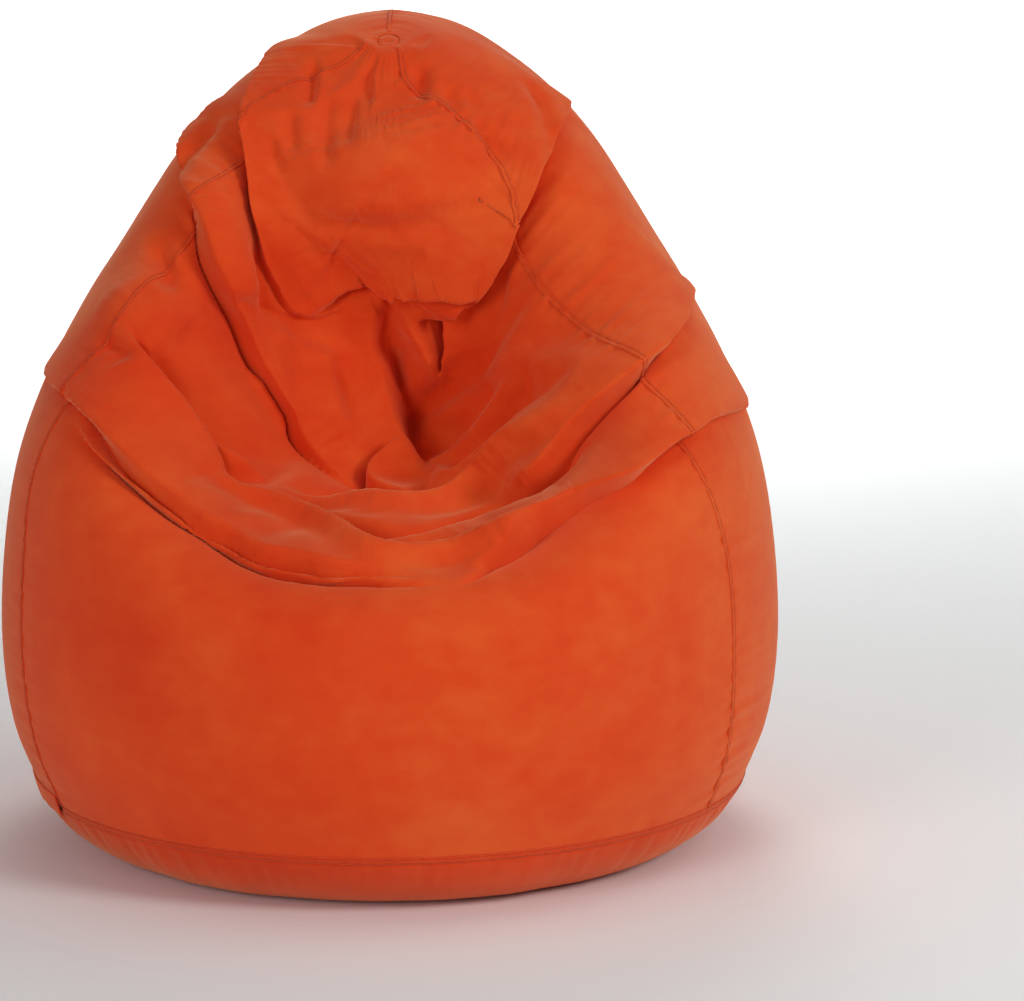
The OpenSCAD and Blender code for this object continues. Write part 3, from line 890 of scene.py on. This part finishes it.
def stitches(name, points, normal, shifts, height, material, pitch=0.0036, radius=0.0004):
    """Rows of sewn stitches beside a line."""
    _, place, up, along, across = resample(points, normal, pitch)
    turn = np.arange(STITCH_SIDES) * 2 * np.pi / STITCH_SIDES
    shapes = []
    for shift in shifts:
        middle = place + shift * across + height * up
        rings = []
        for run, size, lift in STITCH_RINGS:
            centre = middle + run * 0.72 * pitch * along + lift * radius * up
            ring = (np.cos(turn)[None, :, None] * up[:, None]
                    + np.sin(turn)[None, :, None] * across[:, None])
            rings.append(centre[:, None] + size * radius * ring)
        shapes.append(np.concatenate(rings, axis=1))
    faces = grid_faces(len(STITCH_RINGS), STITCH_SIDES, closed=True)
    last = (len(STITCH_RINGS) - 1) * STITCH_SIDES
    faces.append(tuple(range(STITCH_SIDES))[::-1])
    faces.append(tuple(range(last, last + STITCH_SIDES)))
    return many(name, np.concatenate(shapes), faces, material)


def thread_material(name, dark, light):
    """Twisted sewing thread."""
    return toned(name, 1600, [(0.35, dark), (0.65, light)], 0.55)[0]


thread = thread_material("thread", (0.30, 0.022, 0.006), (0.44, 0.045, 0.012))
SEAM_WIDTH = {"left": 0.0056, "right": 0.0072, "back": 0.0062}
SEAM_HEIGHT = 0.0013
SEAM_END = ROWS - 3
THREAD_END = ROWS - ROWS_PER_LEVEL // 2
SEAM_NODES = {"left": "front_left", "right": "front_right", "back": "back"}
for side, column in SEAM_COL.items():
    node = SEAM_NODES[side]
    width = SEAM_WIDTH[side]
    fit(strap(node + "_felled_seam", cloth[:SEAM_END, column], cloth_n[:SEAM_END, column],
              width, SEAM_HEIGHT, velvet), node + "_seam")
    fit(stitches(node + "_stitches", cloth[:THREAD_END, column], cloth_n[:THREAD_END, column],
                 (-0.36 * width, 0.36 * width), SEAM_HEIGHT, thread),
        node + "_thread")

# ---- Base seam and base -------------------------------------------------------------------
# Sections round the base are [distance up the cloth from the seam's middle, depth below it].
PANEL_GAP = 0.008
lower_n = body_n[0, FRONT_COLS // 2]
slope_out = np.array([np.hypot(lower_n[0], lower_n[1]), lower_n[2]])
slope_up = np.array([-slope_out[1], slope_out[0]])
seam_mid = np.array([LEVELS[0, 0], LEVELS[0, 4]]) - PANEL_GAP / 2 * slope_up


def ring_point(azimuth, up, depth):
    """Points round the base seam, for azimuths in degrees."""
    azimuth, up, depth = np.broadcast_arrays(np.radians(azimuth), up, depth)
    radius = seam_mid[0] + up * slope_up[0] - depth * slope_out[0]
    height = seam_mid[1] + up * slope_up[1] - depth * slope_out[1]
    return np.stack([radius * np.cos(azimuth), radius * np.sin(azimuth), height], axis=-1)


def ring_line(start, end, up=0.0, depth=0.0, step=0.5):
    """A line round the base seam, with its normals."""
    azimuth = np.linspace(start, end, int((end - start) / step) + 1)
    points = ring_point(azimuth, up, depth)
    return points, unit(ring_point(azimuth, up, depth - 0.01) - points)


ZIP_START, ZIP_END = 90, 210
LINER_ZIP_START, LINER_ZIP_END = 330, 450
ring, ring_n = ring_line(ZIP_END, ZIP_START + 360)
# The base seam's strip uses the darker copy of the velvet: painted shade.
fit(strap("base_felled_seam", ring, ring_n, 0.0092, 0.0012, velvet_shaded, pucker=0.3),
    "base_seam")
fit(stitches("base_stitches", ring, ring_n, (-0.0026, 0.0026), 0.0012, thread),
    "base_thread")


LINER_DEPTH = 0.012
BASE_TURN = 0.12


def base_shell(name, depth, thickness, material, crush):
    """The round base: flat on the floor and turned up to its rim, gathered a little there."""
    turn_r = BASE_TURN - depth
    edge = ring_point(0, -PANEL_GAP / 2, depth)[[0, 2]]
    centre_z = BASE_TURN
    end = math.acos(np.clip((centre_z - edge[1]) / turn_r, -1, 1))
    flat_r = edge[0] - turn_r * math.sin(end)
    azimuth = np.linspace(0, 2 * np.pi, 480, endpoint=False)
    gathers = ripples(azimuth * 0.45, (0.0173 * np.pi, 0.009 * np.pi, 0.0062 * np.pi))
    sag = ripples(azimuth * 0.45, (0.1 * np.pi, 0.06 * np.pi))
    gathers = gathers * smooth_step((np.pi - np.abs(azimuth - np.pi)) / 0.2)
    sag = sag * smooth_step((np.pi - np.abs(azimuth - np.pi)) / 0.4)
    shells = []
    for inset in (0, thickness):
        rings = []
        for share in (0.02, 0.25, 0.5, 0.7, 0.85, 0.95):
            rings.append(np.stack([share * flat_r * np.cos(azimuth),
                                   share * flat_r * np.sin(azimuth),
                                   np.full(len(azimuth), centre_z - turn_r + inset)], axis=-1))
        for t in np.linspace(0, 1, 26):
            a = end * t
            puff = crush * (gathers * t ** 3 + 2.2 * sag * math.sin(math.pi * t) * t)
            puff = puff * smooth_step((1.02 - t) / 0.1) - inset
            radius = flat_r + (turn_r + puff) * math.sin(a)
            height = centre_z - (turn_r + puff) * math.cos(a)
            rings.append(np.stack([radius * np.cos(azimuth), radius * np.sin(azimuth),
                                   np.maximum(height, centre_z - turn_r + inset)], axis=-1))
        shells.append(np.array(rings))
    return dish(name, shells[0], shells[1], material)


# The base uses the darker copy of the velvet: painted shade under the bag.
base_skin = base_shell("base_skin", 0, 0.0022, velvet_shaded, 0.0018)
liner_base_skin = base_shell("liner_base_skin", LINER_DEPTH, LINER_T, lining, 0.0012)
fit(base_skin, "base_panel")
fit(liner_base_skin, "liner_base")

# ---- Tip ----------------------------------------------------------------------------------


def tip_cap(name, ring, pleats, material):
    """The gathered cloth that closes the round opening where the gores meet."""
    middle = ring.mean(0)
    turn = np.linspace(0, 2 * np.pi, len(ring), endpoint=False)
    folds = np.cos(pleats * turn + 0.7 * np.sin(2 * turn))
    rings = []
    for share, lift, depth in ((0.80, -0.0040, 0), (0.99, -0.0030, 0), (0.99, -0.0010, 0.01),
                               (0.84, 0.0002, 0.06), (0.55, 0.0006, 0.14), (0.28, -0.0006, 0.2)):
        size = share * (1 + depth * folds)
        offset = (ring - middle) * size[:, None]
        rings.append(middle + offset + np.array([0, 0, lift]))
    return closed_rings(name, np.array(rings), middle - [0, 0, 0.004],
                        middle - [0, 0, 0.0020], material)


fit(tip_cap("tip_tuck", cloth[-1, ::4], 9, velvet), "tip_gather")
fit(tip_cap("liner_tip_tuck", liner_grid[LINER_TOP - 1], 11, lining), "liner_tip_gather")

# ---- Zips ---------------------------------------------------------------------------------


def woven_tape(name, dark, light):
    """Twill zip tape: fine ribs that run along it."""
    return toned(name, 60, [(0.4, dark), (0.6, light)], 0.75, (1, 1, 22), (0.4, 0.0003))[0]


def coil_material(name, dark, light):
    """Drawn nylon, slightly glossy."""
    return toned(name, 300, [(0.35, dark), (0.65, light)], 0.35)[0]


def metal_material():
    """Nickel-plated zinc with fine handling marks."""
    material, nodes, links, shader, coords = new_material("zip_metal")
    marks = noise(nodes, links, coords, 420, 4, (1, 1, 3))
    links.new(ramp(nodes, links, marks, [(0.35, (0.46, 0.46, 0.48)), (0.65, (0.66, 0.66, 0.68))]),
              shader.inputs["Base Color"])
    shader.inputs["Metallic"].default_value = 1.0
    rough = nodes.new("ShaderNodeMapRange")
    rough.inputs["To Min"].default_value = 0.22
    rough.inputs["To Max"].default_value = 0.42
    links.new(marks, rough.inputs["Value"])
    links.new(rough.outputs["Result"], shader.inputs["Roughness"])
    links.new(relief(nodes, links, marks, 0.28, 0.0002), shader.inputs["Normal"])
    return material


TAPE_DEPTH, TAPE_T, TAPE_SPACING = 0.0039, 0.0008, 0.004
ZIP_MARGIN, STOP_DEG = 2.0, 0.6


def zip_tape(name, start, end, depth, side, material):
    """One tape, with its woven edge a little thicker and a slight wave along it."""
    points, n = ring_line(start + ZIP_MARGIN, end - ZIP_MARGIN)
    at, place, up, _, across = resample(points, n, TAPE_SPACING)
    wave = 0.00012 * ripples(at, (0.031, 0.052))
    shape = [(0.0004, 0), (0.0011, 0.0001), (0.0050, 0), (0.0095, 0.0001), (0.0104, 0.0003),
             (0.0110, 0.0001), (0.0110, -TAPE_T), (0.0104, -TAPE_T - 0.0001),
             (0.0050, -TAPE_T), (0.0004, -TAPE_T)]
    outline = np.repeat(np.array(shape)[None], len(at), axis=0)
    outline[..., 0] *= -side
    outline[..., 1] += wave[:, None] - depth - TAPE_DEPTH
    if side > 0:
        outline = outline[:, ::-1]
    return sweep(name, place, across, up, outline, material)


COIL_PITCH, COIL_WIRE, COIL_TURN = 0.0022, 0.00042, 8
COIL_OUT, COIL_DEPTH = 0.0017, 0.0024


def zip_coil(name, start, end, depth, side, material):
    """One side of a coil zip: a wire wound in flat turns along the tape's edge."""
    margin = ZIP_MARGIN + 2 * STOP_DEG
    points, n = ring_line(start + margin, end - margin)
    at, place, up, _, across = resample(points, n, COIL_PITCH / COIL_TURN)
    turn = 2 * np.pi * np.arange(len(at)) / COIL_TURN
    out = -side * (COIL_OUT + 0.00085 * np.cos(turn))
    rise = -depth - COIL_DEPTH + 0.0009 * np.sin(turn)
    centre = place + out[:, None] * across + rise[:, None] * up
    ahead = unit(np.gradient(centre, axis=0))
    right = unit(np.cross(ahead, up))
    above = np.cross(right, ahead)
    ring = COIL_WIRE * np.array([(-1, 0), (0, 1), (1, 0), (0, -1)])
    outline = np.repeat(ring[None], len(at), axis=0)
    return sweep(name, centre, right, above, outline, material)


tape_orange = woven_tape("zip_tape", (0.22, 0.022, 0.008), (0.34, 0.040, 0.012))
coil_orange = coil_material("zip_coil", (0.26, 0.024, 0.008), (0.40, 0.045, 0.014))
tape_white = woven_tape("liner_zip", (0.62, 0.61, 0.57), (0.76, 0.75, 0.71))
coil_white = coil_material("liner_coil", (0.70, 0.69, 0.66), (0.84, 0.83, 0.80))
metal = metal_material()
for prefix, start, end, depth, tape, coil, slots in (
        ("zip", ZIP_START, ZIP_END, 0, tape_orange, coil_orange, ("zip_tape", "zip_coil")),
        ("liner", LINER_ZIP_START, LINER_ZIP_END, LINER_DEPTH, tape_white, coil_white,
         ("liner_zip", "liner_zip"))):
    for side, word in ((1, "upper"), (-1, "lower")):
        fit(zip_tape(f"{prefix}_woven_tape_{word}", start, end, depth, side, tape),
            f"{prefix}_tape_{word}")
        fit(zip_coil(f"{prefix}_wound_coil_{word}", start, end, depth, side, coil),
            f"{prefix}_coil_{word}")
for node in ("zip_closed_stop", "zip_open_stop", "zip_slider",
             "liner_closed_stop", "liner_open_stop", "liner_slider"):
    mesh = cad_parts[node].data
    mesh.materials.clear()
    mesh.materials.append(metal)


def placket():
    """The flap over the cover's zip: a doubled strip, sewn along its top, its free edge wavy."""
    points, n = ring_line(ZIP_START + 0.9, ZIP_END - 0.9)
    at, place, up, _, across = resample(points, n, TAPE_SPACING)
    shape = [(0.0090, 0.0016), (0.0098, 0.0023), (0.0092, 0.0032), (0.0060, 0.0034),
             (0.0000, 0.0034), (-0.0060, 0.0033), (-0.0115, 0.0031), (-0.0150, 0.0026),
             (-0.0172, 0.0020), (-0.0172, 0.0006), (-0.0140, 0.0006), (-0.0115, 0.0013),
             (-0.0040, 0.0015), (0.0040, 0.0016)]
    outline = np.repeat(np.array(shape)[::-1][None], len(at), axis=0)
    free = smooth_step((outline[..., 0] + 0.010) / 0.018)
    wave = 0.0006 * (1 + ripples(at, (0.043, 0.071, 0.12)))
    outline[..., 1] += free * wave[:, None]
    outline[..., 0] += free * (0.0006 * ripples(at, (0.06, 0.1)))[:, None]
    return sweep("zip_flap", place, across, up, outline, velvet)


fit(placket(), "zip_placket")

# ---- Care label ---------------------------------------------------------------------------
LABEL_AZIMUTH, LABEL_W, LABEL_LEN = 86, 0.030, 0.044
LABEL_OUT, LABEL_TUCK, LABEL_T = 0.0030, 0.0003, 0.0009


def satin_label():
    """A folded satin label that hangs from the base seam, blank, with a slight curl."""
    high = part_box("care_label")[1]
    out = np.array([math.cos(math.radians(LABEL_AZIMUTH)), math.sin(math.radians(LABEL_AZIMUTH)), 0])
    across = np.array([-out[1], out[0], 0])
    radius = seam_mid[0] + LABEL_OUT
    drop = np.linspace(0, 1, 24)
    span = np.linspace(-0.5, 0.5, 13)
    curl = 0.0014 * drop[:, None] ** 2 * (1 + 2.4 * span[None, :] ** 2)
    curl = curl - LABEL_TUCK * (1 - smooth_step(drop[:, None] / 0.05))
    base = (out * radius + np.outer(drop, [0, 0, -LABEL_LEN])[:, None]
            + np.array([0, 0, high.z]) + LABEL_W * span[None, :, None] * across)
    outer = base + (curl + LABEL_T / 2)[..., None] * out
    inner = base + (curl - LABEL_T / 2)[..., None] * out
    return sheet_solid("satin_label", outer[:, ::-1], inner[:, ::-1], label_satin)


label_satin = plain_cloth("label_satin", (0.78, 0.77, 0.74), (0.86, 0.85, 0.82))
fit(satin_label(), "care_label", body="care_label")

# ---- Stage, light and camera --------------------------------------------------------------


def backdrop():
    """A pale floor that curves up into the wall behind the bag."""
    foot, turn, half_width, wall_top = 5.2, 1.6, 9, 8
    profile = [(-half_width, 0), (foot, 0)]
    profile += [(foot + turn * math.sin(a), turn - turn * math.cos(a))
                for a in np.linspace(0.1, math.pi / 2, 14)]
    profile += [(foot + turn, wall_top)]
    verts = [(x, y, z) for y, z in profile for x in (-half_width, half_width)]
    faces = [(2 * i, 2 * i + 1, 2 * i + 3, 2 * i + 2) for i in range(len(profile) - 1)]
    stops = [(0.4, (0.93, 0.94, 0.94)), (0.6, (0.95, 0.96, 0.96))]
    material = toned("studio_paper", 400, stops, 0.9)[0]
    floor = add_mesh("backdrop", verts, faces, material)


# Each light's place, what it points at, its size in metres, its power in watts and its colour.
WHITE = (1, 1, 1)
LIGHTS = {
    "key": ((3.1, -2.5, 2.2), (0, 0, 0.5), 1.3, 64, (0.95, 1.0, 0.98)),
    "fill": ((-2.0, -3.4, 1.5), (0, 0, 0.5), 1.8, 40, WHITE),
    "top": ((0.4, -0.6, 3.6), (0.4, -0.4, 0), 2.2, 10, WHITE),
    "floor": ((0.3, 2.9, 3.6), (0.3, 3.6, 0), 2.0, 50, WHITE),
    "side": ((2.7, 0.3, 3.0), (2.9, 0.3, 0), 1.6, 9, WHITE),
    "wall": ((0, 5.0, 3.6), (0, 6.8, 1.2), 2.0, 130, WHITE),
}
WORLD_LIGHT = 0.20
LENS_MM, SENSOR_MM, LOOKING_DOWN_DEG = 104.8, 36, 9.34


def area_light(name, place, target, size, power, colour):
    """A round soft light that points at its target."""
    light = bpy.data.lights.new(name, "AREA")
    light.shape = "DISK"
    light.size = size
    light.energy = power
    light.color = colour
    lamp = bpy.data.objects.new(name, light)
    lamp.location = place
    lamp.rotation_euler = (Vector(target) - Vector(place)).to_track_quat("-Z", "Y").to_euler()
    bpy.context.scene.collection.objects.link(lamp)


backdrop()
for name, light in LIGHTS.items():
    area_light(name, *light)
world = bpy.data.worlds.new("studio")
world.use_nodes = True
world.node_tree.nodes["Background"].inputs["Color"].default_value = (1, 1, 1, 1)
world.node_tree.nodes["Background"].inputs["Strength"].default_value = WORLD_LIGHT
bpy.context.scene.world = world
bpy.context.scene.view_settings.view_transform = "Standard"

camera = bpy.data.cameras.new("camera")
camera.sensor_width = SENSOR_MM
camera.lens = LENS_MM
eye = bpy.data.objects.new("camera", camera)
eye.location = STANDPOINT
eye.rotation_euler = (math.radians(90 - LOOKING_DOWN_DEG), 0, 0)
bpy.context.scene.collection.objects.link(eye)
bpy.context.scene.camera = eye
